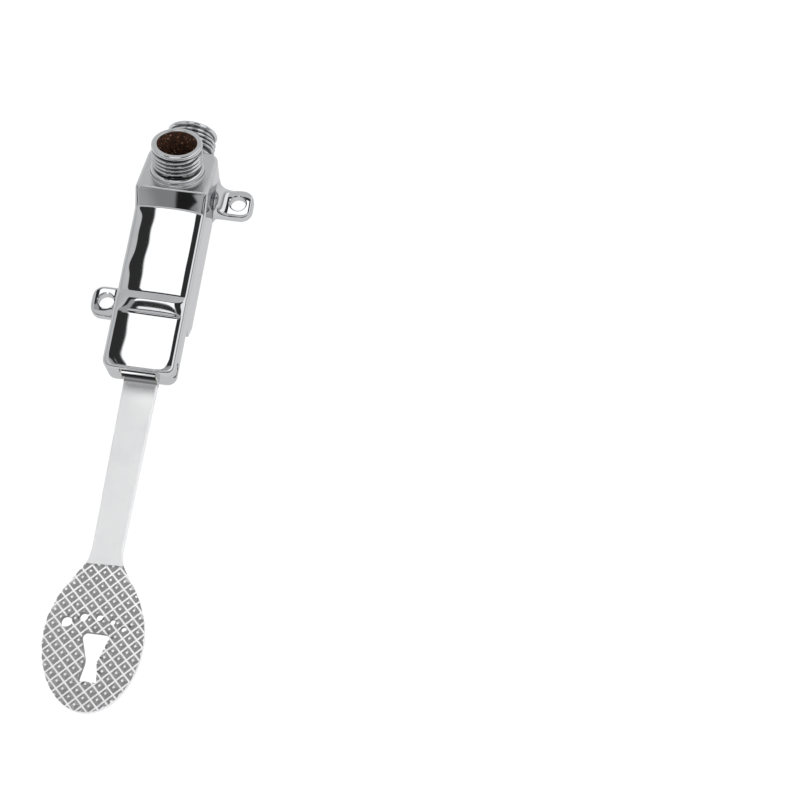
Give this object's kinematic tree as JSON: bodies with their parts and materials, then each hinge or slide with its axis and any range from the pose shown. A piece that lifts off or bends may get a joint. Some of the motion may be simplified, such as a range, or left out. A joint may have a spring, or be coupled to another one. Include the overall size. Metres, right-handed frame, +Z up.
{
  "type": "foot pedal tap valve",
  "caption": "Chromed foot-operated tap valve: cast floor body with threaded inlet and outlet spigots, fixing lugs, and a hinged pedal lever with a studded sole.",
  "frame": {"origin": "midway between the floor lug holes, on the base plane", "axes": "+Z up from the floor, +Y along the body towards the inlet spigot, +X to the right seen from the pedal"},
  "size_m": [0.059, 0.2498, 0.0444],
  "materials": {
    "body_chrome": "polished chrome plate on cast brass",
    "lever_chrome": "satin chrome plate on cast metal",
    "brass": "turned",
    "steel": "turned stainless",
    "spring_steel": "drawn stainless wire",
    "rubber": "moulded",
    "fibre": "pressed fibre",
    "acetal": "turned acetal"
  },
  "bodies": {
    "valve": {"valve_body": "body_chrome", "seat_gasket": "fibre", "seat_insert": "brass", "gland_packing": "rubber", "gland_washer": "brass", "gland_nut": "brass", "stem_wiper": "rubber", "return_spring": "spring_steel", "spring_retainer": "brass", "pivot_pin": "steel", "thrust_washers": "acetal"},
    "stem": {"valve_stem": "steel", "push_cap": "acetal", "seat_washer": "rubber", "disc_holder": "brass", "lock_washer": "steel", "disc_nut": "brass"},
    "pedal": {"pedal_lever": "lever_chrome", "pivot_bushes": "acetal"}
  },
  "joints": [
    {"name": "pedal_hinge", "type": "hinge", "parent": "valve", "child": "pedal", "pos_m": [0, -0.0587, 0.0208], "axis": [1, 0, 0], "range_deg": [0, 4.7], "stiffness_Nm_per_rad": 0.43, "springref_deg": -38.22},
    {"name": "stem_slide", "type": "slide", "parent": "valve", "child": "stem", "axis": [0, 1, 0], "range_m": [0, 0.00077], "deforming": ["return_spring"]}
  ],
  "couplings": [
    {"joint": "stem_slide", "follows": "pedal_hinge", "m_per_rad": 0.0092}
  ]
}
